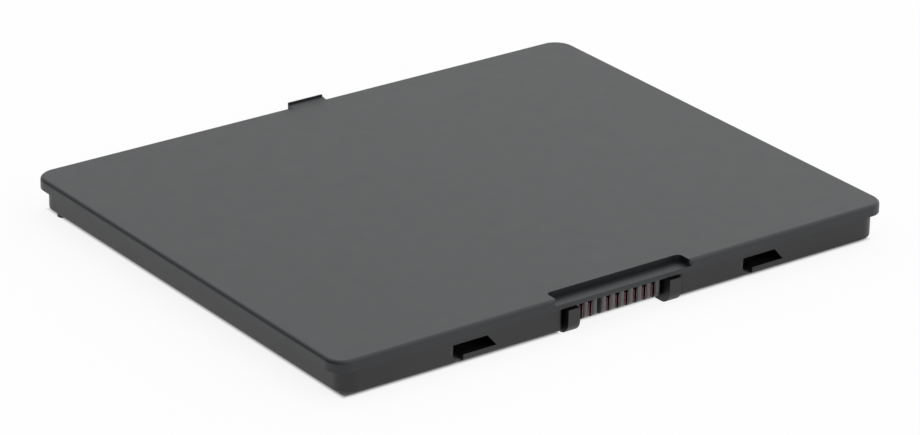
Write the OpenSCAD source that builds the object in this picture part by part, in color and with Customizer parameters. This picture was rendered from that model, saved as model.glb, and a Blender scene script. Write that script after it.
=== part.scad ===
// Removable two-cell battery pack for a tablet computer.
// A flat outer cover closes a shallow lower case. The connector side faces -Y,
// the finger lip is on the +Y edge, and the pack lies with its cover up.

/* [Outer cover] */
// Width of the cover along the connector side
plate_w = 152.4; // [146:0.2:164]
// Depth of the cover from the connector side to the back
plate_d = 122.4; // [116:0.2:134]
// Radius of the cover's two back corners seen from above
plate_r = 5; // [4:0.5:8]
// Radius of the cover's two corners on the connector side
front_r = 4.2; // [3:0.2:6]
// Height from the underside of the case to the outer face of the cover
pack_h = 8.25; // [7.75:0.1:9.05]
// Thickness of the cover plate
cover_t = 1; // [0.8:0.1:1.2]
// Radius of the rim round the outer face
rim_r = 0.85; // [0.4:0.05:0.9]
// Depth of the cover's skirt below its outer face
skirt_h = 2.7; // [2.5:0.1:3.1]
// Wall thickness of the skirt
skirt_t = 1.2; // [1:0.1:1.4]

/* [Connector notch] */
// Width of the notch above the connector
notch_w = 37; // [34:0.5:44]
// Depth of the notch behind the cover's front edge
notch_l = 4; // [3:0.25:5]
// Height of the notch below the outer face
notch_h = 1.5; // [1:0.1:1.7]
// Thickness of the wall round the notch
notch_wall = 1; // [0.8:0.1:1.4]
// Radius of the notch's two inner corners seen from above
notch_r = 1.2; // [0.6:0.1:2]
// Radius of the notch's two front edges seen from above
notch_edge_r = 0.9; // [0.4:0.1:1]

/* [Finger lip] */
// Width of the lip on the back edge
lip_w = 10; // [8:0.2:14]
// Reach of the lip beyond the cover's back edge
lip_out = 1.1; // [0.8:0.1:2.4]
// Run of the hollow ramp that leads up to the lip
lip_in = 2.4; // [1.5:0.1:3]
// Rise of the lip above the outer face
lip_rise = 0.8; // [0.6:0.05:1]
// Thickness of the lip below the outer face
lip_t = 0.9; // [0.7:0.1:1.4]
// Radius of the lip's two outer corners
lip_r = 0.5; // [0.3:0.1:1.4]
// Thickness of the ridge along the lip's tip
ridge_t = 0.35; // [0.25:0.05:0.5]
// Height of that ridge above the end of the ramp
ridge_h = 0.45; // [0.2:0.05:0.5]

/* [Lower case] */
// Step from the cover's edge in to the case's side walls
side_inset = 2.2; // [1.5:0.1:2.6]
// Step from the cover's edge in to the case's back wall
back_inset = 0.7; // [0.4:0.1:1.2]
// Step from the cover's edge in to the case's connector wall
front_inset = 0.5; // [0.3:0.1:0.9]
// Corner radius of the case seen from above
case_r = 4; // [3:0.5:5]
// Radius of the case's bottom edge
case_rim_r = 0.5; // [0.3:0.1:0.8]
// Thickness of the case's walls
wall_t = 1; // [0.8:0.1:1.3]
// Thickness of the case's floor
floor_t = 0.9; // [0.8:0.1:1.1]
// Clearance between the case's upstand and the cover's skirt
seam_gap = 0.1; // [0.05:0.05:0.2]
// Height of the centre rib between the cells
rib_h = 3; // [2:0.25:4]
// Thickness of the ribs on the case's floor
rib_t = 1; // [0.8:0.1:1.4]
// Depth of the shallow panel in the underside
panel_h = 0.2; // [0.1:0.05:0.3]
// Width of the shallow panel in the underside
panel_w = 96; // [60:2:120]
// Depth of that panel from front to back
panel_d = 70; // [40:2:84]
// Corner radius of that panel
panel_r = 2; // [1:0.5:4]

/* [Feet] */
// Diameter of the two round feet
foot_d = 2.4; // [1.8:0.1:3]
// Height of the feet and drop of the guide lugs below the case
foot_h = 0.95; // [0.6:0.05:1.2]
// Distance from a foot's centre to the case's side wall
foot_side = 1.65; // [1.6:0.05:4]
// Distance from a foot's centre to the case's back wall
foot_back = 6; // [5:0.2:12]

/* [Latch slots] */
// Distance of each latch slot from the middle
latch_x = 40; // [36:1:50]
// Reach of a latch slot to the left of its own middle
latch_left = 4.9; // [4.6:0.1:6]
// Reach of a latch slot to the right of its own middle
latch_right = 5.9; // [5:0.1:7]
// Height of a latch slot above the case's underside
latch_h = 4.4; // [4:0.1:4.6]
// Depth of a latch slot behind the connector wall
latch_l = 5.2; // [4:0.1:5.4]
// Run of the slope that narrows a slot's right end to a tip
latch_wedge = 2.5; // [1.5:0.1:3.5]
// Radius of the slot's rounded left edge seen from above
latch_edge_r = 1.4; // [0.6:0.1:1.6]
// Radius of the slot's upper left corner
latch_corner_r = 0.7; // [0.3:0.1:1]
// Height of the catch bar under a latch slot
bar_h = 1.55; // [1.1:0.05:1.8]
// Distance from a slot's middle to the free left end of its catch bar
bar_x = 2.9; // [2.4:0.1:3.2]
// Distance from a slot's middle to the foot of the slope on the left of its entry
entry_x = 4.3; // [3.8:0.1:4.6]
// Height of that slope
entry_h = 2.4; // [1.8:0.1:2.8]

/* [Guide lugs] */
// Width of a guide lug beside the connector
lug_w = 3.2; // [2.6:0.1:4]
// Reach of the lugs beyond the cover's front edge
lug_out = 0.7; // [0.4:0.05:1]
// Length of the part of a lug that stands below the case
lug_l = 5; // [4:0.2:6]
// Radius of a lug's nose, seen from the side
lug_r = 2.9; // [1.5:0.1:3.2]
// Gap between a lug and the cover's skirt above it
lug_top_gap = 0.45; // [0.3:0.05:0.6]
// Gap between a lug and the connector's end rib
lug_in_gap = 0.5; // [0.3:0.05:0.8]
// Gap between a lug and the end of the connector wall
lug_side_gap = 0.35; // [0.3:0.05:1]
// Depth of the recess round the lugs behind the cover's front edge
bay_l = 3.5; // [3:0.1:4.5]
// Radius of the recess's rounded side edges
bay_r = 1.1; // [0.5:0.1:1.5]
// Radius of the recess's two inner corners
bay_corner_r = 0.5; // [0.3:0.1:1]

/* [Connector] */
// Spacing of the connector's slots
pitch = 2.5; // [2.4:0.05:2.6]
// Number of slots
slots = 9; // [9]
// Width of a rib between two slots
contact_rib = 1.4; // [1.2:0.05:1.5]
// Slot from the left that has no contact, as a key
key_slot = 3; // [1:1:9]
// Distance of the ribs behind the cover's front edge
rib_setback = 1.8; // [1.6:0.1:2.4]
// Radius of the ribs' noses, seen from the side
rib_r = 1.8; // [0.8:0.1:2]
// Depth of the connector's front part
housing_l = 6; // [5.5:0.25:7]
// Depth of a slot
slot_l = 4.2; // [3.8:0.1:4.8]
// Roof left above the slots
slot_roof = 0.7; // [0.5:0.1:1]
// Length of the connector's heel on the circuit board
heel_l = 2.5; // [2:0.25:2.75]
// Reach of the ears that stand on the case's floor beside the connector
ear_w = 1.6; // [1.2:0.1:2.2]
// Clearance round the connector
housing_gap = 0.1; // [0.05:0.05:0.15]

/* [Contacts] */
// Thickness of the contact metal
contact_t = 0.2; // [0.15:0.05:0.25]
// Clearance between a contact and its slot
contact_gap = 0.05; // [0.03:0.01:0.07]
// Set-back of the contacts behind the front of the ribs
contact_setback = 0.3; // [0.3:0.1:1.2]
// Height of a contact's two leaves
leaf_h = 3; // [2.5:0.1:3.2]
// Width of a contact's solder tail
tail_w = 0.8; // [0.6:0.05:0.9]
// Length of a solder tail past the connector's heel
tail_out = 0.8; // [0.5:0.1:0.9]

/* [Circuit board] */
// Margin of the circuit board beyond the end strips
board_side = 1.5; // [1:0.25:3]
// Depth of the circuit board
board_d = 10; // [9.5:0.25:11]
// Thickness of the circuit board
board_t = 0.8; // [0.6:0.1:1]
// Gap between the circuit board and the connector
board_gap = 0.2; // [0.1:0.05:0.3]
// Gap between the circuit board and the ribs at its ends
board_end_gap = 0.2; // [0.1:0.05:0.4]
// Thickness of the insulating sheet under the board and of the cell tape
sheet_t = 0.15; // [0.1:0.05:0.2]
// Width of the metal strips on the board
strip_d = 3.5; // [3:0.25:4]
// Length of the two end strips
strip_w = 8; // [7:0.5:9]
// Thickness of the metal strips
strip_t = 0.2; // [0.15:0.05:0.25]
// Distance of the metal strips from the board's back edge
strip_back = 0.5; // [0.3:0.1:0.8]

/* [Cells] */
// Gap between the cells and the case's side walls
cell_side_gap = 1.5; // [1.2:0.1:2.5]
// Gap between a cell and the centre rib
cell_rib_gap = 0.9; // [0.5:0.1:1.5]
// Gap between the cells and the case's back wall
cell_back_gap = 1.5; // [1:0.1:2.5]
// Gap between the cells' sealed ends and the circuit board
cell_board_gap = 1; // [0.6:0.1:1.5]
// Depth of a cell's sealed end
terrace_l = 3.6; // [3:0.2:5]
// Thickness of a cell's sealed end
terrace_t = 0.35; // [0.3:0.05:0.45]
// Thickness of the folded seals on a cell's long sides
fold_t = 0.35; // [0.25:0.05:0.45]
// Height of those folded seals
fold_h = 3.2; // [2.5:0.1:3.8]
// Radius of a cell's upper and lower edges
cell_rim_r = 1; // [0.6:0.1:1.4]
// Radius of a cell's upright corners
cell_r = 2; // [1.6:0.1:3]
// Spacing of a cell's two tabs
tab_pitch = 24; // [18:1:30]
// Width of a cell tab
tab_w = 6; // [5:0.5:6.5]
// Length of a cell tab that lies on a metal strip
tab_lap = 2.75; // [2:0.25:3]
// Thickness of a cell tab
tab_t = 0.15; // [0.1:0.05:0.2]

/* [Pads and tapes] */
// Thickness of the foam pads between the cells and the cover
foam_t = 0.8; // [0.6:0.1:1.2]
// Distance of the foam pads from the edges of a cell
foam_inset = 6; // [4:0.5:12]
// Distance of the cell tape from the edges of a cell
tape_inset = 4; // [3:0.5:10]
// Thickness of the film over a cell's sealed end
film_t = 0.1; // [0.05:0.05:0.15]
// Distance of that film from the ends of the sealed end
film_inset = 1.5; // [1:0.25:3]

/* [Board components] */
// Distance from the connector to the first components beside it
chip_clear = 3; // [2:0.5:4]
// Gap between components in a row
chip_space = 3; // [2:0.5:4]
// Length of the fuel gauge chip
gauge_w = 6.4; // [5:0.1:7]
// Width of the fuel gauge chip over its legs
gauge_d = 4.4; // [3.4:0.1:4.4]
// Height of the fuel gauge chip
gauge_h = 1.1; // [0.9:0.1:1.3]
// Number of legs on each side of the fuel gauge chip
gauge_legs = 10; // [7:1:12]
// Length of the cell protector chip
protector_w = 2.9; // [2:0.1:3.4]
// Width of the cell protector chip over its legs
protector_d = 2.8; // [2.4:0.1:3.2]
// Height of the cell protector chip
protector_h = 1.1; // [0.9:0.1:1.3]
// Number of legs on each side of the cell protector chip
protector_legs = 3; // [2:1:3]
// Length of a transistor
fet_w = 4.9; // [4:0.1:5.4]
// Width of a transistor over its legs
fet_d = 4; // [3.4:0.1:4.4]
// Height of a transistor
fet_h = 1.5; // [1:0.1:1.7]
// Number of legs on each side of a transistor
fet_legs = 4; // [3:1:4]
// Length of the chip fuse
fuse_w = 4.5; // [3.6:0.1:5]
// Width of the chip fuse
fuse_d = 3.2; // [2.4:0.1:3.8]
// Height of the chip fuse
fuse_h = 1.2; // [0.8:0.1:1.5]
// Length of the sense resistor
sense_w = 6.3; // [5:0.1:6.6]
// Width of the sense resistor
sense_d = 3.2; // [2.4:0.1:3.8]
// Height of the sense resistor
sense_h = 0.6; // [0.5:0.1:0.8]
// Length of a chip capacitor and of the thermistor
chip_w = 1.6; // [1:0.1:1.8]
// Width of a chip capacitor and of the thermistor
chip_d = 0.8; // [0.5:0.1:0.9]
// Height of a chip capacitor and of the thermistor
chip_h = 0.8; // [0.5:0.1:0.9]
// Number of chip capacitors in the row
capacitors = 6; // [3:1:7]
// Spacing of the chip capacitors
capacitor_pitch = 2.6; // [2.2:0.1:3]
// Length of the metal cap on a component's end
cap_l = 0.35; // [0.2:0.05:0.45]
// Step from a component's body out to its metal caps
cap_step = 0.05; // [0.03:0.01:0.08]
// Reach of a chip's legs beyond its body
leg_out = 0.6; // [0.5:0.05:0.8]
// Thickness of a chip's legs
leg_t = 0.15; // [0.1:0.05:0.2]

/* [Hidden] */
$fn = 64;
// Overlap that lets a cut run clear of the face it starts from
cut = 1;

// Heights above the plane that the feet stand on
case_z = foot_h;
floor_z = case_z + floor_t;
cover_z = case_z + pack_h;
roof_z = cover_z - cover_t;
seam_z = cover_z - skirt_h;
ledge_z = cover_z - notch_h;
board_z = floor_z + sheet_t;
pad_z = board_z + board_t;
tab_z = pad_z + strip_t;
tail_top_z = pad_z + contact_t;
cell_z = floor_z + sheet_t;
cell_top_z = roof_z - foam_t;
housing_top_z = seam_z - housing_gap;
slot_top_z = housing_top_z - slot_roof;
leaf_z = (case_z + slot_top_z - leaf_h) / 2;

// Places along Y, before the pack is centred on its own box
front_y = -plate_d / 2;
back_y = plate_d / 2;
bay_y = front_y + bay_l;
housing_y = front_y + rib_setback;
housing_end_y = housing_y + housing_l;
slot_end_y = housing_y + slot_l;
board_y = housing_end_y + board_gap;
board_end_y = board_y + board_d;
heel_end_y = housing_end_y + heel_l;
terrace_y = board_end_y + cell_board_gap;
cell_y = terrace_y + terrace_l;
// Shift that puts the middle of the whole pack at Y = 0
centre_y = (lug_out - lip_out) / 2;

// Steps from the cover's edge to the upstand and to the inside of the case
seam_inset = skirt_t + seam_gap;
rise_side = max(side_inset, seam_inset);
rise_front = max(front_inset, seam_inset);
rise_back = max(back_inset, seam_inset);
inner_side = plate_w / 2 - rise_side - wall_t;
inner_front_y = front_y + rise_front + wall_t;
inner_back_y = back_y - rise_back - wall_t;

slot_w = pitch - contact_rib;
housing_w = slots * pitch + contact_rib;
lug_x = housing_w / 2 + lug_in_gap;
lug_end_x = lug_x + lug_w;
bay_x = lug_end_x + lug_side_gap;
notch_x = notch_w / 2 + notch_wall;

cell_end_y = inner_back_y - cell_back_gap;
cell_in_x = rib_t / 2 + cell_rib_gap;
cell_w = inner_side - cell_side_gap - cell_in_x;
cell_x = cell_in_x + cell_w / 2;
cell_l = cell_end_y - cell_y;
cell_mid_y = (cell_end_y + cell_y) / 2;
strip_y = board_end_y - strip_back - strip_d / 2;
strip_front_y = strip_y - strip_d / 2;
chips_y = (board_y + strip_front_y) / 2;
capacitor_y = (heel_end_y + tail_out + strip_front_y) / 2;
board_w = 2 * (tab_x(1) + strip_w / 2 + board_side);

// Places of the components along the board, outward from the connector
gauge_x = lug_end_x + chip_clear + gauge_w / 2;
fuse_x = gauge_x + gauge_w / 2 + chip_space + fuse_w / 2;
sense_x = fuse_x + fuse_w / 2 + chip_space + sense_w / 2;
protector_x = lug_end_x + chip_clear + protector_w / 2;
charge_x = protector_x + protector_w / 2 + chip_space + fet_w / 2;
discharge_x = charge_x + fet_w + chip_space;
thermistor_x = discharge_x + fet_w / 2 + chip_space + chip_w / 2;

// Centres of the slots that hold a contact
contact_slots = [for (i = [1 : slots]) if (i != key_slot) i];
function slot_x(i) = (i - (slots + 1) / 2) * pitch;
// Distance of a tab from the middle: 0 for the inner one, 1 for the outer one
function tab_x(outer) = cell_x + (outer - 0.5) * tab_pitch;

// The pack moved from the cover's own middle to the middle of its box
module placed() {
    translate([0, centre_y, 0]) children();
}

// A copy on each side of the middle plane
module both_sides() {
    children();
    mirror([1, 0, 0]) children();
}

// Half of a slab's section, from its middle to its edge, with rounded rims
module half_section(reach, h, top_r, bottom_r) {
    difference() {
        square([reach, h]);
        if (top_r > 0)
            translate([reach - top_r, h - top_r]) rim_cut(top_r);
        if (bottom_r > 0)
            translate([reach - bottom_r, bottom_r]) mirror([0, 1]) rim_cut(bottom_r);
    }
}

// The waste outside a quarter round
module rim_cut(r) {
    difference() {
        square(r + cut);
        circle(r);
    }
}

module full_section(reach, h, top_r, bottom_r) {
    half_section(reach, h, top_r, bottom_r);
    mirror([1, 0]) half_section(reach, h, top_r, bottom_r);
}

// A slab whose corners, and its upper and lower rims, are rounded
module slab(w, d, h, near_r, far_r, top_r, bottom_r) {
    for (end = [[0, far_r], [1, near_r]]) {
        flip = end[0];
        r = end[1];
        mirror([0, flip, 0]) {
            rotate([90, 0, 90]) linear_extrude(w - 2 * r, center = true)
                half_section(d / 2, h, top_r, bottom_r);
            for (side = [0, 1])
                mirror([side, 0, 0]) translate([w / 2 - r, d / 2 - r, 0])
                    rotate_extrude(angle = 90) half_section(r, h, top_r, bottom_r);
        }
    }
    translate([0, d / 2 - far_r, 0]) rotate([90, 0, 0])
        linear_extrude(d - near_r - far_r) full_section(w / 2, h, top_r, bottom_r);
}

// A rectangle with rounded corners
module outline(w, d, r) {
    square([w, d - 2 * r], center = true);
    square([w - 2 * r, d], center = true);
    for (x = [-1, 1], y = [-1, 1])
        translate([x * (w / 2 - r), y * (d / 2 - r)]) circle(r);
}

// The cover's outline, stepped in by its own amount on each side
module inset_outline(side, front, back, r) {
    translate([0, (front - back) / 2]) outline(plate_w - 2 * side, plate_d - front - back, r);
}

// A box from its lowest to its highest corner
module span(low, high) {
    translate(low) cube(high - low);
}

// A plan shape with rounded inner corners and side edges that round out to its mouth
module flared_plan(w, l, edge_r, corner_r) {
    outline(w, 2 * l, corner_r);
    for (side = [-1, 1])
        translate([side * w / 2, 0]) scale([side, 1]) flare(edge_r);
}

// The waste in front of a rounded edge, beside the opening that it leads into
module flare(r) {
    difference() {
        translate([-cut, -cut]) square(r + cut);
        translate([r, r]) circle(r);
    }
}

// Outer cover, its skirt, the notch and the finger lip
module top_cover() {
    color("#3a3a3c") placed() difference() {
        union() {
            difference() {
                translate([0, 0, seam_z]) slab(plate_w, plate_d, skirt_h, front_r, plate_r, rim_r, 0);
                translate([0, 0, seam_z - cut])
                    linear_extrude(roof_z - seam_z + cut)
                        inset_outline(skirt_t, skirt_t, skirt_t, plate_r - skirt_t);
            }
            span(
                [-notch_x, front_y + skirt_t / 2, seam_z],
                [notch_x, front_y + notch_l + notch_wall, roof_z + cover_t / 2]
            );
            finger_lip();
        }
        translate([0, front_y, ledge_z]) linear_extrude(notch_h + cut)
            flared_plan(notch_w, notch_l, notch_edge_r, notch_r);
    }
}

// Blade behind the back edge: a hollow ramp rises to a thin ridge along its tip
module finger_lip() {
    ridge_y = back_y + lip_out - ridge_t;
    run = ridge_y - back_y + lip_in;
    ramp_h = lip_rise - ridge_h;
    ramp_r = (run * run + ramp_h * ramp_h) / (2 * ramp_h);
    intersection() {
        difference() {
            span(
                [-lip_w / 2, back_y - lip_in, cover_z - lip_t],
                [lip_w / 2, back_y + lip_out, cover_z + lip_rise]
            );
            side_profile(-lip_w / 2 - cut, lip_w / 2 + cut) intersection() {
                translate([back_y - lip_in, cover_z + ramp_r]) circle(ramp_r, $fn = 256);
                span_plan([back_y - lip_in - cut, cover_z], [ridge_y, cover_z + lip_rise + cut]);
            }
        }
        translate([0, back_y + lip_out - lip_w / 2, cover_z - lip_t])
            linear_extrude(lip_t + lip_rise) outline(lip_w, lip_w, lip_r);
    }
}

// Lower case with its upstand, feet, latch slots, guide lugs and inner ribs
module lower_case() {
    color("#2f2f31") placed() {
        difference() {
            case_shell();
            for (x = [-latch_x, latch_x])
                translate([x, front_y + front_inset, case_z]) latch_slot();
            bay_cut();
            // Well for the connector, open at the front and through the floor
            span(
                [-housing_w / 2 - housing_gap, front_y - cut, case_z - cut],
                [housing_w / 2 + housing_gap, housing_end_y + housing_gap, seam_z + cut]
            );
        }
        both_sides() guide_lug();
    }
}

module case_shell() {
    difference() {
        union() {
            translate([0, (front_inset - back_inset) / 2, case_z])
                slab(
                    plate_w - 2 * side_inset, plate_d - front_inset - back_inset,
                    seam_z - case_z, case_r, case_r, 0, case_rim_r
                );
            translate([0, 0, seam_z]) linear_extrude(roof_z - seam_z)
                inset_outline(rise_side, rise_front, rise_back, plate_r - seam_inset);
        }
        translate([0, 0, floor_z]) linear_extrude(roof_z - floor_z + cut)
            inset_outline(
                rise_side + wall_t, rise_front + wall_t, rise_back + wall_t,
                plate_r - seam_inset - wall_t
            );
        translate([0, 0, case_z - cut]) linear_extrude(cut + panel_h)
            outline(panel_w, panel_d, panel_r);
        // Room for the walls round the cover's notch
        span(
            [-notch_x - seam_gap, front_y - cut, seam_z],
            [notch_x + seam_gap, front_y + notch_l + notch_wall + seam_gap, roof_z + cut]
        );
    }
    // Solid blocks behind the latch slots and round the connector
    for (x = [-latch_x, latch_x])
        span(
            [
                x - latch_left - latch_edge_r - wall_t,
                inner_front_y - wall_t / 2,
                floor_z - floor_t / 2
            ],
            [
                x + latch_right + wall_t,
                front_y + front_inset + latch_l + wall_t,
                case_z + latch_h + wall_t
            ]
        );
    span(
        [-bay_x - wall_t, inner_front_y - wall_t / 2, floor_z - floor_t / 2],
        [bay_x + wall_t, bay_y + wall_t, seam_z]
    );
    // Rib between the cells and stops at the board's two ends
    span(
        [-rib_t / 2, cell_y, floor_z - floor_t / 2],
        [rib_t / 2, cell_end_y, floor_z + rib_h]
    );
    both_sides() span(
        [board_w / 2 + board_end_gap, board_y, floor_z - floor_t / 2],
        [board_w / 2 + board_end_gap + rib_t, board_end_y, pad_z]
    );
    both_sides()
        translate([
            plate_w / 2 - side_inset - foot_side,
            back_y - back_inset - foot_back,
            0
        ])
            cylinder(h = foot_h + floor_t / 2, d = foot_d);
}

// Slot for a latch hook: the hook enters at the left end, which is open at the
// bottom, and slides to the right over the catch bar into the narrowing end
module latch_slot() {
    intersection() {
        linear_extrude(2 * (latch_h + cut), center = true) {
            span_plan([-latch_left, -cut], [latch_right, latch_l]);
            translate([-latch_left, 0]) mirror([1, 0]) flare(latch_edge_r);
        }
        translate([0, latch_l + cut, 0]) rotate([90, 0, 0]) linear_extrude(latch_l + 2 * cut)
            latch_front();
    }
}

// Front view of a latch slot, with its height above the case's underside
module latch_front() {
    left = -latch_left - latch_edge_r;
    difference() {
        polygon([
            [left, entry_h], [left, latch_h],
            [latch_right - latch_wedge, latch_h], [latch_right, bar_h],
            [-bar_x, bar_h], [-bar_x, -cut],
            [-entry_x, -cut], [-entry_x, 0]
        ]);
        translate([left + latch_corner_r, latch_h - latch_corner_r])
            mirror([1, 0]) rim_cut(latch_corner_r);
    }
}

// Recess round the lugs, open at the bottom
module bay_cut() {
    translate([0, front_y + front_inset, case_z - cut]) linear_extrude(seam_z - case_z + cut)
        flared_plan(2 * bay_x, bay_l - front_inset, bay_r, bay_corner_r);
}

// Lug that guides the pack into its bay, with a foot below the case
module guide_lug() {
    lug_y = front_y - lug_out;
    side_profile(lug_x, lug_end_x) difference() {
        union() {
            span_plan([lug_y, 0], [lug_y + lug_l, case_z + floor_t / 2]);
            span_plan([lug_y, case_z], [bay_y + wall_t / 2, seam_z - lug_top_gap]);
        }
        translate([lug_y + lug_r, lug_r]) rotate(180) rim_cut(lug_r);
    }
}

// Connector body: ribs with slots between them, two ears and a heel on the board
module connector_housing() {
    color("#8a8a8c") placed() difference() {
        union() {
            intersection() {
                side_profile(-housing_w / 2, housing_w / 2)
                    nosed_plan([housing_y, case_z], [housing_end_y, housing_top_z], rib_r);
                linear_extrude(housing_top_z) rib_plan();
            }
            both_sides() span(
                [housing_w / 2 - ear_w, bay_y + wall_t + housing_gap, floor_z],
                [housing_w / 2 + ear_w, housing_end_y, housing_top_z]
            );
            span(
                [-housing_w / 2, slot_end_y, pad_z],
                [housing_w / 2, heel_end_y, housing_top_z]
            );
        }
        for (i = [1 : slots])
            span(
                [slot_x(i) - slot_w / 2, housing_y - cut, case_z - cut],
                [slot_x(i) + slot_w / 2, slot_end_y, slot_top_z]
            );
        for (i = contact_slots)
            span(
                [slot_x(i) - tail_w / 2 - contact_gap, slot_end_y - cut, pad_z - contact_gap],
                [slot_x(i) + tail_w / 2 + contact_gap, heel_end_y + cut, tail_top_z + contact_gap]
            );
    }
}

// The connector seen from above, with a round nose on each rib
module rib_plan() {
    span_plan([-housing_w / 2, housing_y + contact_rib / 2], [housing_w / 2, housing_end_y]);
    for (i = [0 : slots])
        translate([(i - slots / 2) * pitch, housing_y + contact_rib / 2])
            circle(d = contact_rib);
}

// A flat rectangle from its lowest to its highest corner
module span_plan(low, high) {
    translate(low) square(high - low);
}

// That rectangle with its first corner rounded to a nose
module nosed_plan(low, high, r) {
    difference() {
        span_plan(low, high);
        translate(low + [r, r]) rotate(180) rim_cut(r);
    }
}

// A side view, Y across and Z up, extruded along X
module side_profile(x0, x1) {
    translate([x0, 0, 0]) rotate([90, 0, 90]) linear_extrude(x1 - x0) children();
}

// One contact: two leaves joined by a web, and a solder tail on the board
module contact(number) {
    x = slot_x(contact_slots[number - 1]);
    half = slot_w / 2 - contact_gap;
    web_y = slot_end_y - contact_gap;
    leaf_y = housing_y + contact_setback;
    color("#c08a4a") placed() translate([x, 0, 0]) {
        both_sides() span(
            [half - contact_t, leaf_y, leaf_z],
            [half, web_y, leaf_z + leaf_h]
        );
        span([-half, web_y - contact_t, pad_z], [half, web_y, leaf_z + leaf_h]);
        span(
            [-tail_w / 2, web_y - contact_t, pad_z],
            [tail_w / 2, heel_end_y + tail_out, tail_top_z]
        );
    }
}

// Protection and gauge board
module circuit_board() {
    color("#1f5a3a") placed() span(
        [-board_w / 2, board_y, board_z],
        [board_w / 2, board_end_y, pad_z]
    );
}

module board_insulator() {
    color("#d8c890") placed() span(
        [-board_w / 2, board_y, floor_z],
        [board_w / 2, board_end_y, board_z]
    );
}

// A moulded chip on bent legs, with the same number on both long sides
module legged_chip(w, d, h, legs) {
    leg_pitch = w / legs;
    leg_w = leg_pitch / 2;
    body_d = d - 2 * leg_out;
    shoulder_z = h / 2;
    color("#1c1c1e") translate([-w / 2, -body_d / 2, leg_t])
        cube([w, body_d, h - leg_t]);
    for (i = [0 : legs - 1], side = [0, 180])
        color("#b8b8b8") rotate(side)
            side_profile((i - legs / 2 + 0.25) * leg_pitch, (i - legs / 2 + 0.25) * leg_pitch + leg_w) {
                span_plan([-d / 2, 0], [-body_d / 2 - leg_out / 2, leg_t]);
                span_plan(
                    [-body_d / 2 - leg_out / 2 - leg_t, 0],
                    [-body_d / 2 - leg_out / 2, shoulder_z]
                );
                span_plan(
                    [-body_d / 2 - leg_out / 2 - leg_t, shoulder_z - leg_t],
                    [-body_d / 2 + leg_t, shoulder_z]
                );
            }
}

// A plain component whose metal end caps stand a little proud of its body
module capped_chip(w, d, h, shade) {
    color(shade) translate([-w / 2 + cap_l / 2, -d / 2 + cap_step, cap_step])
        cube([w - cap_l, d - 2 * cap_step, h - 2 * cap_step]);
    for (side = [0, 1])
        mirror([side, 0, 0])
            color("#c8c8c8") translate([w / 2 - cap_l, -d / 2, 0]) cube([cap_l, d, h]);
}

// Sets a component on the board at its place
module on_board(x, y) {
    placed() translate([x, y, pad_z]) children();
}

module gauge_chip() {
    on_board(-gauge_x, chips_y) legged_chip(gauge_w, gauge_d, gauge_h, gauge_legs);
}

module protector_chip() {
    on_board(protector_x, chips_y)
        legged_chip(protector_w, protector_d, protector_h, protector_legs);
}

module charge_transistor() {
    on_board(charge_x, chips_y) legged_chip(fet_w, fet_d, fet_h, fet_legs);
}

module discharge_transistor() {
    on_board(discharge_x, chips_y) legged_chip(fet_w, fet_d, fet_h, fet_legs);
}

module chip_fuse() {
    on_board(-fuse_x, chips_y) capped_chip(fuse_w, fuse_d, fuse_h, "#e4e0d4");
}

module sense_resistor() {
    on_board(-sense_x, chips_y) capped_chip(sense_w, sense_d, sense_h, "#1c1c1e");
}

module thermistor() {
    on_board(thermistor_x, chips_y) capped_chip(chip_w, chip_d, chip_h, "#3a3a3c");
}

module chip_capacitors() {
    for (i = [0 : capacitors - 1])
        on_board((i - (capacitors - 1) / 2) * capacitor_pitch, capacitor_y)
            capped_chip(chip_w, chip_d, chip_h, "#a07850");
}

// A metal strip on the board, from its left to its right end
module strip(x0, x1) {
    color("#c4c4c0") placed() span(
        [x0, strip_y - strip_d / 2, pad_z],
        [x1, strip_y + strip_d / 2, pad_z + strip_t]
    );
}

module positive_strip() {
    strip(-tab_x(1) - strip_w / 2, -tab_x(1) + strip_w / 2);
}

module series_strip() {
    strip(-tab_x(0) - strip_w / 2, tab_x(0) + strip_w / 2);
}

module negative_strip() {
    strip(tab_x(1) - strip_w / 2, tab_x(1) + strip_w / 2);
}

// A pouch cell: pressed body, sealed end and folded side seals
module cell(x) {
    body_w = cell_w - 2 * fold_t;
    color("#b9bcc0") placed() translate([x, 0, 0]) {
        translate([0, cell_mid_y, cell_z])
            slab(body_w, cell_l, cell_top_z - cell_z, cell_r, cell_r, cell_rim_r, cell_rim_r);
        span(
            [-body_w / 2 + cell_r, terrace_y, tab_z + tab_t / 2 - terrace_t / 2],
            [body_w / 2 - cell_r, cell_y + cell_rim_r, tab_z + tab_t / 2 + terrace_t / 2]
        );
        both_sides() span(
            [body_w / 2 - fold_t, cell_y + cell_r, cell_z + cell_rim_r],
            [cell_w / 2, cell_end_y - cell_r, cell_z + fold_h]
        );
    }
}

module left_cell() {
    cell(-cell_x);
}

module right_cell() {
    cell(cell_x);
}

// A cell tab, from the sealed end to the strip that it is welded to
module tab(x, shade) {
    color(shade) placed() span(
        [x - tab_w / 2, strip_y + strip_d / 2 - tab_lap, tab_z],
        [x + tab_w / 2, terrace_y, tab_z + tab_t]
    );
}

module left_cell_plus_tab() {
    tab(-tab_x(1), "#d0d2d4");
}

module left_cell_minus_tab() {
    tab(-tab_x(0), "#b0a890");
}

module right_cell_plus_tab() {
    tab(tab_x(0), "#d0d2d4");
}

module right_cell_minus_tab() {
    tab(tab_x(1), "#b0a890");
}

// Insulating film stuck over a sealed end
module end_film(x) {
    half = cell_w / 2 - fold_t - cell_r - film_inset;
    low_z = tab_z + tab_t / 2 + terrace_t / 2;
    color("#c8962c") placed() span(
        [x - half, terrace_y, low_z],
        [x + half, cell_y, low_z + film_t]
    );
}

module left_end_film() {
    end_film(-cell_x);
}

module right_end_film() {
    end_film(cell_x);
}

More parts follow.
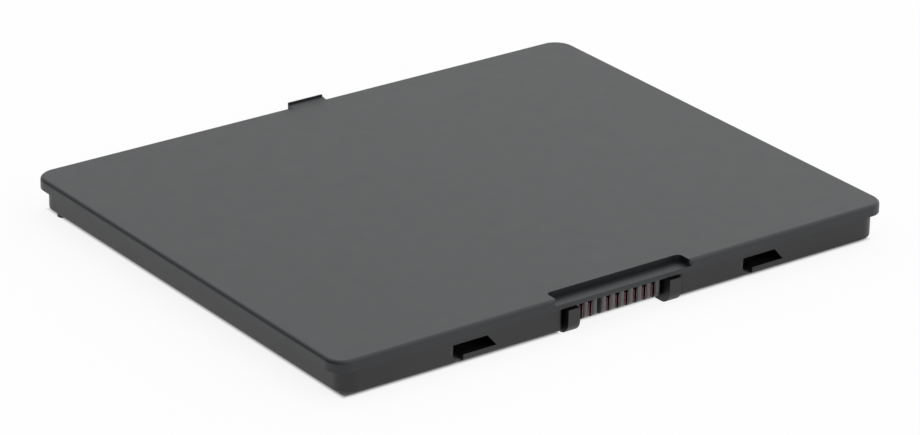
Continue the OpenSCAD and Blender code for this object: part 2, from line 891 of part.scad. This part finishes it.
// A flat sheet over or under a cell, set in from the cell's edges
module cell_sheet(x, inset, low_z, high_z) {
    placed() span(
        [x - cell_w / 2 + inset, cell_y + inset, low_z],
        [x + cell_w / 2 - inset, cell_end_y - inset, high_z]
    );
}

module left_cell_tape() {
    color("#e8e8e0") cell_sheet(-cell_x, tape_inset, floor_z, cell_z);
}

module right_cell_tape() {
    color("#e8e8e0") cell_sheet(cell_x, tape_inset, floor_z, cell_z);
}

module left_foam_pad() {
    color("#505256") cell_sheet(-cell_x, foam_inset, cell_top_z, roof_z);
}

module right_foam_pad() {
    color("#505256") cell_sheet(cell_x, foam_inset, cell_top_z, roof_z);
}

top_cover();
lower_case();
connector_housing();
contact(1);  // contact_1
contact(2);  // contact_2
contact(3);  // contact_3
contact(4);  // contact_4
contact(5);  // contact_5
contact(6);  // contact_6
contact(7);  // contact_7
contact(8);  // contact_8
circuit_board();
board_insulator();
gauge_chip();
protector_chip();
charge_transistor();
discharge_transistor();
chip_fuse();
sense_resistor();
thermistor();
chip_capacitors();
positive_strip();
series_strip();
negative_strip();
left_cell();
right_cell();
left_cell_plus_tab();
left_cell_minus_tab();
right_cell_plus_tab();
right_cell_minus_tab();
left_end_film();
right_end_film();
left_cell_tape();
right_cell_tape();
left_foam_pad();
right_foam_pad();
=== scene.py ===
import bpy
from mathutils import Matrix, Vector

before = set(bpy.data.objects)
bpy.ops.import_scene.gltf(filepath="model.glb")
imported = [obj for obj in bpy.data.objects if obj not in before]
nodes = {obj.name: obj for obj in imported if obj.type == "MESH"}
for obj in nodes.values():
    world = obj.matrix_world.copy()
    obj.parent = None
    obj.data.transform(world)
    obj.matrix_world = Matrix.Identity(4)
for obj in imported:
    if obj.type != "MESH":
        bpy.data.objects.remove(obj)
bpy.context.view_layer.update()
scene = bpy.context.scene


# ---- named values --------------------------------------------------------
# Lengths and places are in metres, in the part's own coordinates. Colours are
# linear. A noise's scale is in waves per metre.

# Where the values of a noise texture mostly lie
NOISE_LOW, NOISE_HIGH = 0.3, 0.7
# Length of a wave texture's wave at scale 1
WAVE_LENGTH = 0.31416

# Places where a piece's material changes
SEAL_END_Y = -0.0388      # each cell's heat seal lies in front of this
WELDS_END_Y = -0.0440     # each tab's weld marks lie in front of this
LOW_CHIP_TOP = 0.0039     # height of the chips' upper faces
HIGH_CHIP_TOP = 0.0043    # height of the transistors' upper faces
LEG_REACH = 0.00059       # the legs stand 0.6 mm out of a chip's body
CAP_REACH = 0.00036       # the end caps are 0.35 mm long
CAPACITOR_LENGTH = 0.0016
CAPACITOR_PITCH = 0.0026

# Marks on the inner pieces
WELD_SPACING, WELD_RADIUS = 0.0014, 0.00042
SEAL_RIB_SPACING = 0.0005
TRACK_LENGTH, TRACK_PITCH, TRACK_GAP = 0.0470, 0.0008, 0.00016
HOLE_SPACING, HOLE_RADIUS = 0.0032, 0.00026
# How softly a change of material starts, along Y and in height
Y_FADE, SEAL_FADE, TOP_FADE = 0.0001, 0.0003, 0.00002

# Floor: its half length, and the share of its glow that a camera sees
FLOOR_HALF = 3.0
GLOW_SHARE = 0.88
# The floor's reflection grows dimmer between these two places along X
DIM_START_X, DIM_END_X, DIM_LEVEL = -0.04, 0.07, 0.35
# The glow ends between each pair of distances from the part's middle: under
# the case's edges, and under the edges of the recess round the connector
CASE_EDGE_X, CASE_EDGE_Y = (0.0723, 0.0736), (0.0589, 0.0602)
RECESS_EDGE_X, RECESS_EDGE_Y = (0.0160, 0.0165), (0.0562, 0.0575)

# World: the level grows from the dark to the light end along this direction
LIGHT_SIDE = (0.616, -0.037, 0.474)
DARK_END, LIGHT_END = -0.60, 0.80
DARK_LEVEL, LIGHT_LEVEL = 0.04, 1.44

# Camera, solved from the photograph's straight edges
CAMERA_PLACE = (-0.526515, -0.709101, 0.390177)
CAMERA_RIGHT = (0.80668089, -0.59075139, 0.01669554)
CAMERA_DOWN = (-0.22565713, -0.33400246, -0.91516185)
CAMERA_AHEAD = (0.54620948, 0.73447611, -0.40274066)
LENS_MM, SENSOR_MM = 164.854, 36.0
CLIP_START, CLIP_END = 0.05, 20.0


# ---- node helpers --------------------------------------------------------

class Graph:
    """A material's node tree, with short ways to add and join nodes."""

    def __init__(self, name):
        self.material = bpy.data.materials.new(name)
        self.material.use_nodes = True
        self.tree = self.material.node_tree
        self.shader = self.tree.nodes["Principled BSDF"]
        self.place = self.add("ShaderNodeTexCoord").outputs["Object"]
        split = self.add("ShaderNodeSeparateXYZ")
        self.join(self.place, split.inputs[0])
        self.x, self.y, self.z = split.outputs

    def add(self, kind, **settings):
        """Adds a node. A setting such as in_Row_Height goes to the input of that name."""
        node = self.tree.nodes.new(kind)
        for key, value in settings.items():
            if key.startswith("in_"):
                node.inputs[key[3:].replace("_", " ")].default_value = value
            else:
                setattr(node, key, value)
        return node

    def join(self, source, target):
        self.tree.links.new(source, target)

    def texture(self, kind, output, vector=None, **settings):
        """A texture on object coordinates, or on another vector."""
        node = self.add(kind, **settings)
        self.join(vector or self.place, node.inputs["Vector"])
        return node.outputs[output]

    def noise(self, scale, detail=2.0, rough=0.5, vector=None):
        return self.texture("ShaderNodeTexNoise", "Fac", vector, in_Scale=scale, in_Detail=detail,
                            in_Roughness=rough)

    def streaks(self, stretch):
        """Fine noise, drawn out where a factor along X, Y or Z is small."""
        drawn = self.texture("ShaderNodeMapping", "Vector", in_Scale=stretch)
        return self.noise(900.0, 3.0, 0.6, drawn)

    def dots(self, spacing, radius):
        """Round marks on a regular grid: 1 in the middle of each, 0 outside."""
        distance = self.texture("ShaderNodeTexVoronoi", "Distance", voronoi_dimensions="2D",
                                in_Scale=1.0 / spacing, in_Randomness=0.0)
        edge = radius / spacing
        return self.band(distance, 0.7 * edge, edge, 1.0, 0.0)

    def ridges(self, spacing, axis):
        """Straight ridges across one axis, 0 to 1."""
        return self.texture("ShaderNodeTexWave", "Fac", wave_type="BANDS", bands_direction=axis,
                            in_Scale=WAVE_LENGTH / spacing)

    def math(self, operation, *sources):
        """One Math node on sockets and numbers."""
        node = self.add("ShaderNodeMath", operation=operation)
        for source, socket in zip(sources, node.inputs):
            if isinstance(source, float):
                socket.default_value = source
            else:
                self.join(source, socket)
        return node.outputs[0]

    def band(self, value, low, high, to_low=0.0, to_high=1.0):
        """Maps a value from one range to another, held at both ends."""
        node = self.add("ShaderNodeMapRange", clamp=True, in_From_Min=low, in_From_Max=high,
                        in_To_Min=to_low, in_To_Max=to_high)
        self.join(value, node.inputs["Value"])
        return node.outputs["Result"]

    def spread(self, noise, to_low=0.0, to_high=1.0):
        """Maps a noise's usual range to another."""
        return self.band(noise, NOISE_LOW, NOISE_HIGH, to_low, to_high)

    def blend(self, factor, dark, light):
        """Runs from one colour, or colour socket, to another."""
        node = self.add("ShaderNodeMix", data_type="RGBA")
        self.join(factor, node.inputs["Factor"])
        for socket, colour in ((node.inputs[6], dark), (node.inputs[7], light)):
            if isinstance(colour, bpy.types.NodeSocket):
                self.join(colour, socket)
            else:
                socket.default_value = (*colour, 1.0)
        return node.outputs[2]

    def colour(self, source):
        self.join(source, self.shader.inputs["Base Color"])

    def roughness(self, source):
        self.join(source, self.shader.inputs["Roughness"])

    def bump(self, height, depth):
        """Bump whose depth is in metres."""
        node = self.add("ShaderNodeBump", in_Distance=depth, in_Strength=1.0)
        self.join(height, node.inputs["Height"])
        self.join(node.outputs["Normal"], self.shader.inputs["Normal"])

    def plain(self, **values):
        """Values that are the same all over the surface."""
        for key, value in values.items():
            self.shader.inputs[key.replace("_", " ")].default_value = value


# ---- kinds of material ---------------------------------------------------

def moulded(name, dark, light, rough, grain, depth, specular=0.5, vary=0.03, tint=(1.0, 1.0, 1.0)):
    """Moulded plastic: a fine spark texture, faint flow mottling and a varied gloss."""
    g = Graph(name)
    mottling = g.noise(60.0, 3.0, 0.55)
    g.colour(g.blend(g.spread(mottling), dark, light))
    g.roughness(g.spread(g.noise(220.0), rough - vary, rough + vary))
    g.bump(g.noise(grain, 3.0, 0.6), depth)
    g.plain(Specular_IOR_Level=specular, Specular_Tint=(*tint, 1.0))
    return g.material


def metal(name, dark, light, rough, stretch):
    """Rolled sheet metal with fine streaks."""
    g = Graph(name)
    lines = g.streaks(stretch)
    g.colour(g.blend(g.spread(lines), dark, light))
    g.roughness(g.spread(lines, rough - 0.05, rough + 0.07))
    g.bump(lines, 0.000004)
    g.plain(Metallic=1.0)
    return g.material


def tab_metal(name, dark, light, rough):
    """Sheet metal with streaks along Y and rows of weld marks near its front end."""
    g = Graph(name)
    lines = g.streaks((1.0, 0.15, 1.0))
    near = g.band(g.y, WELDS_END_Y - Y_FADE, WELDS_END_Y, 1.0, 0.0)
    welds = g.math("MULTIPLY", g.dots(WELD_SPACING, WELD_RADIUS), near)
    clean = g.blend(g.spread(lines), dark, light)
    g.colour(g.blend(welds, clean, tuple(0.45 * part for part in dark)))
    g.roughness(g.band(welds, 0.0, 1.0, rough, rough + 0.25))
    g.bump(g.math("SUBTRACT", g.math("MULTIPLY", lines, 0.1), welds), 0.00003)
    g.plain(Metallic=1.0)
    return g.material


def pouch(name):
    """Laminated foil: a fine emboss, soft dent bumps with painted shade in their hollows, and a
    ribbed heat seal at the front.
    """
    g = Graph(name)
    emboss = g.noise(2600.0)
    dents_and_painted_shade = g.noise(70.0)
    seal = g.band(g.y, SEAL_END_Y - SEAL_FADE, SEAL_END_Y, 1.0, 0.0)
    crossed = g.math("MULTIPLY", g.ridges(SEAL_RIB_SPACING, "X"), g.ridges(SEAL_RIB_SPACING, "Y"))
    ribs = g.math("MULTIPLY", crossed, seal)
    # The colour is darker where the dent noise is low, in the hollows of the dent bumps: painted
    # shade
    g.colour(g.blend(g.band(dents_and_painted_shade, 0.35, 0.65), (0.57, 0.58, 0.60), (0.61, 0.62, 0.64)))
    g.roughness(g.spread(emboss, 0.36, 0.50))
    height = g.math("ADD", g.math("MULTIPLY", dents_and_painted_shade, 0.8), g.math("MULTIPLY", emboss, 0.10))
    g.bump(g.math("ADD", height, g.math("MULTIPLY", ribs, 0.35)), 0.00012)
    g.plain(Metallic=0.85)
    return g.material


def board_face(name):
    """Green solder mask over long copper tracks, with bare copper round some holes."""
    g = Graph(name)
    gaps = g.texture("ShaderNodeTexBrick", "Fac", offset=0.41, offset_frequency=2, squash=0.55,
                     squash_frequency=3, in_Scale=1.0, in_Mortar_Size=TRACK_GAP,
                     in_Mortar_Smooth=0.1, in_Brick_Width=TRACK_LENGTH, in_Row_Height=TRACK_PITCH)
    mask = g.blend(g.spread(g.noise(400.0)), (0.010, 0.085, 0.040), (0.016, 0.110, 0.052))
    lined = g.blend(gaps, mask, (0.030, 0.190, 0.085))
    chosen = g.band(g.noise(180.0), 0.52, 0.53)
    holes = g.math("MULTIPLY", g.dots(HOLE_SPACING, HOLE_RADIUS), chosen)
    g.colour(g.blend(holes, lined, (0.70, 0.55, 0.32)))
    g.roughness(g.spread(g.noise(700.0), 0.26, 0.36))
    g.bump(g.math("SUBTRACT", gaps, g.math("MULTIPLY", holes, 2.0)), 0.000025)
    return g.material


def chip_resin(name, top_height):
    """Chip resin with a fine grain and a paler, ground upper face."""
    g = Graph(name)
    top = g.band(g.z, top_height - TOP_FADE, top_height)
    grain = g.noise(9000.0, 3.0, 0.6)
    body = g.blend(g.spread(grain), (0.011, 0.011, 0.012), (0.019, 0.019, 0.020))
    g.colour(g.blend(top, body, (0.030, 0.030, 0.032)))
    g.roughness(g.spread(g.noise(1500.0), 0.50, 0.62))
    g.bump(grain, 0.000004)
    return g.material


def dress(material, *names):
    """Gives whole pieces one material."""
    for name in names:
        mesh = nodes[name].data
        mesh.materials.clear()
        mesh.materials.append(material)
        for face in mesh.polygons:
            face.material_index = 0


def dress_ends(body, ends, axis, reach, *names, length=None, pitch=None):
    """Gives the two ends of a chip, or of each chip in a row, another material."""
    for name in names:
        mesh = nodes[name].data
        places = [vertex.co[axis] for vertex in mesh.vertices]
        span = length or max(places) - min(places)
        mesh.materials.clear()
        mesh.materials.append(body)
        mesh.materials.append(ends)
        for face in mesh.polygons:
            place = face.center[axis] - min(places)
            if pitch:
                place %= pitch
            face.material_index = int(min(place, span - place) < reach)


# ---- materials -----------------------------------------------------------

shell = moulded("shell_plastic", (0.0034, 0.0042, 0.0058), (0.0050, 0.0060, 0.0078),
                0.42, 5200.0, 0.000006, specular=0.61, vary=0.012, tint=(0.965, 0.99, 1.0))
case = moulded("case_plastic", (0.0036, 0.0036, 0.0042), (0.0052, 0.0050, 0.0058),
               0.40, 5200.0, 0.000006, specular=0.58, vary=0.02, tint=(0.99, 0.98, 1.0))
connector = moulded("connector_plastic", (0.085, 0.085, 0.088), (0.125, 0.125, 0.128),
                    0.34, 7000.0, 0.000003)
gold = metal("contact_gold", (0.14, 0.075, 0.078), (0.26, 0.145, 0.145), 0.45, (1.0, 0.2, 1.0))
nickel = metal("nickel", (0.55, 0.53, 0.49), (0.68, 0.66, 0.62), 0.32, (0.15, 1.0, 1.0))
tin = metal("tinned_metal", (0.60, 0.60, 0.60), (0.74, 0.74, 0.73), 0.38, (1.0, 1.0, 0.3))
nickel_tab = tab_metal("nickel_tab", (0.55, 0.53, 0.49), (0.68, 0.66, 0.62), 0.34)
aluminium_tab = tab_metal("aluminium_tab", (0.72, 0.73, 0.74), (0.84, 0.85, 0.86), 0.36)
foil = pouch("pouch_foil")
low_resin = chip_resin("chip_resin", LOW_CHIP_TOP)
high_resin = chip_resin("transistor_resin", HIGH_CHIP_TOP)
white_body = moulded("fuse_ceramic", (0.66, 0.64, 0.58), (0.76, 0.74, 0.68),
                     0.45, 6000.0, 0.000002)
black_body = moulded("resistor_coat", (0.012, 0.012, 0.014), (0.022, 0.022, 0.024),
                     0.38, 6000.0, 0.000002)
grey_body = moulded("thermistor_coat", (0.045, 0.050, 0.048), (0.075, 0.080, 0.078),
                    0.45, 6000.0, 0.000002)
tan_body = moulded("capacitor_ceramic", (0.30, 0.19, 0.11), (0.42, 0.28, 0.17),
                   0.42, 6000.0, 0.000002)
laminate = board_face("board_laminate")
sheet = moulded("insulating_sheet", (0.55, 0.48, 0.30), (0.66, 0.60, 0.40),
                0.45, 1500.0, 0.000003)
film = moulded("amber_film", (0.42, 0.20, 0.03), (0.56, 0.28, 0.05), 0.2, 900.0, 0.000004)
tape = moulded("cell_tape", (0.66, 0.66, 0.62), (0.78, 0.78, 0.74), 0.5, 2500.0, 0.000004)
foam = moulded("foam", (0.03, 0.03, 0.033), (0.055, 0.055, 0.06), 0.9, 1600.0, 0.00006)

dress(shell, "top_cover")
dress(case, "lower_case")
dress(connector, "connector_housing")
dress(gold, *["contact_%d" % number for number in range(1, 9)])
dress(nickel, "positive_strip", "series_strip", "negative_strip")
dress(nickel_tab, "left_cell_minus_tab", "right_cell_minus_tab")
dress(aluminium_tab, "left_cell_plus_tab", "right_cell_plus_tab")
dress(foil, "left_cell", "right_cell")
dress(laminate, "circuit_board")
dress(sheet, "board_insulator")
dress(film, "left_end_film", "right_end_film")
dress(tape, "left_cell_tape", "right_cell_tape")
dress(foam, "left_foam_pad", "right_foam_pad")
# The legs stand out along Y, and the end caps along X
ALONG_X, ALONG_Y = 0, 1
dress_ends(low_resin, tin, ALONG_Y, LEG_REACH, "gauge_chip", "protector_chip")
dress_ends(high_resin, tin, ALONG_Y, LEG_REACH, "charge_transistor", "discharge_transistor")
dress_ends(white_body, tin, ALONG_X, CAP_REACH, "chip_fuse")
dress_ends(black_body, tin, ALONG_X, CAP_REACH, "sense_resistor")
dress_ends(grey_body, tin, ALONG_X, CAP_REACH, "thermistor")
dress_ends(tan_body, tin, ALONG_X, CAP_REACH, "chip_capacitors",
           length=CAPACITOR_LENGTH, pitch=CAPACITOR_PITCH)

# ---- floor ---------------------------------------------------------------

floor_mesh = bpy.data.meshes.new("floor")
floor_mesh.from_pydata([(-FLOOR_HALF, -FLOOR_HALF, 0), (FLOOR_HALF, -FLOOR_HALF, 0),
                        (FLOOR_HALF, FLOOR_HALF, 0), (-FLOOR_HALF, FLOOR_HALF, 0)],
                       [], [(0, 1, 2, 3)])
floor = bpy.data.objects.new("floor", floor_mesh)
scene.collection.objects.link(floor)
fg = Graph("floor")
fg.colour(fg.blend(fg.noise(9.0), (0.95, 0.95, 0.95), (0.98, 0.98, 0.98)))
fg.plain(Roughness=1.0, Specular_IOR_Level=0.0)
glow = fg.add("ShaderNodeEmission", in_Color=(1.0, 1.0, 1.0, 1.0), in_Strength=1.0)
path = fg.add("ShaderNodeLightPath")
dimmed = fg.band(fg.x, DIM_START_X, DIM_END_X, 1.0, DIM_LEVEL)
seen = fg.math("MULTIPLY", path.outputs["Is Glossy Ray"], dimmed)
for ray in ("Is Camera Ray", "Is Transmission Ray"):
    seen = fg.math("MAXIMUM", seen, path.outputs[ray])
# The glow fades out under the case, where no light reaches the floor, but not
# under the open recess round the connector
across = fg.math("ABSOLUTE", fg.x)
along = fg.math("ABSOLUTE", fg.y)
recess = fg.math("MULTIPLY", fg.band(across, *RECESS_EDGE_X, 1.0, 0.0),
                 fg.band(along, *RECESS_EDGE_Y))
beside = fg.math("MAXIMUM", fg.band(across, *CASE_EDGE_X), fg.band(along, *CASE_EDGE_Y))
lit = fg.math("MULTIPLY", seen, fg.math("MAXIMUM", beside, recess))
mix = fg.add("ShaderNodeMixShader")
fg.join(fg.math("MULTIPLY", lit, GLOW_SHARE), mix.inputs[0])
fg.join(fg.shader.outputs[0], mix.inputs[1])
fg.join(glow.outputs[0], mix.inputs[2])
fg.join(mix.outputs[0], fg.tree.nodes["Material Output"].inputs["Surface"])
floor_mesh.materials.append(fg.material)

# ---- light ---------------------------------------------------------------

world = bpy.data.worlds.new("studio")
scene.world = world
world.use_nodes = True
tree = world.node_tree
background = tree.nodes["Background"]
background.inputs["Strength"].default_value = 1.0
sky = tree.nodes.new("ShaderNodeTexCoord")
facing = tree.nodes.new("ShaderNodeVectorMath")
facing.operation = "DOT_PRODUCT"
facing.inputs[1].default_value = LIGHT_SIDE
tree.links.new(sky.outputs["Generated"], facing.inputs[0])
level = tree.nodes.new("ShaderNodeMapRange")
level.inputs["From Min"].default_value = DARK_END
level.inputs["From Max"].default_value = LIGHT_END
level.inputs["To Min"].default_value = DARK_LEVEL
level.inputs["To Max"].default_value = LIGHT_LEVEL
tree.links.new(facing.outputs["Value"], level.inputs["Value"])
grey = tree.nodes.new("ShaderNodeCombineColor")
for channel in ("Red", "Green", "Blue"):
    tree.links.new(level.outputs["Result"], grey.inputs[channel])
tree.links.new(grey.outputs["Color"], background.inputs["Color"])

# ---- camera --------------------------------------------------------------

camera = bpy.data.objects.new("camera", bpy.data.cameras.new("camera"))
scene.collection.objects.link(camera)
scene.camera = camera
camera.data.sensor_width = SENSOR_MM
camera.data.lens = LENS_MM
camera.data.clip_start = CLIP_START
camera.data.clip_end = CLIP_END
axes = (Vector(CAMERA_RIGHT), -Vector(CAMERA_DOWN), -Vector(CAMERA_AHEAD))
turn = Matrix(axes).transposed().to_4x4()
camera.matrix_world = Matrix.Translation(CAMERA_PLACE) @ turn

# ---- colour management ---------------------------------------------------

scene.view_settings.view_transform = "Standard"
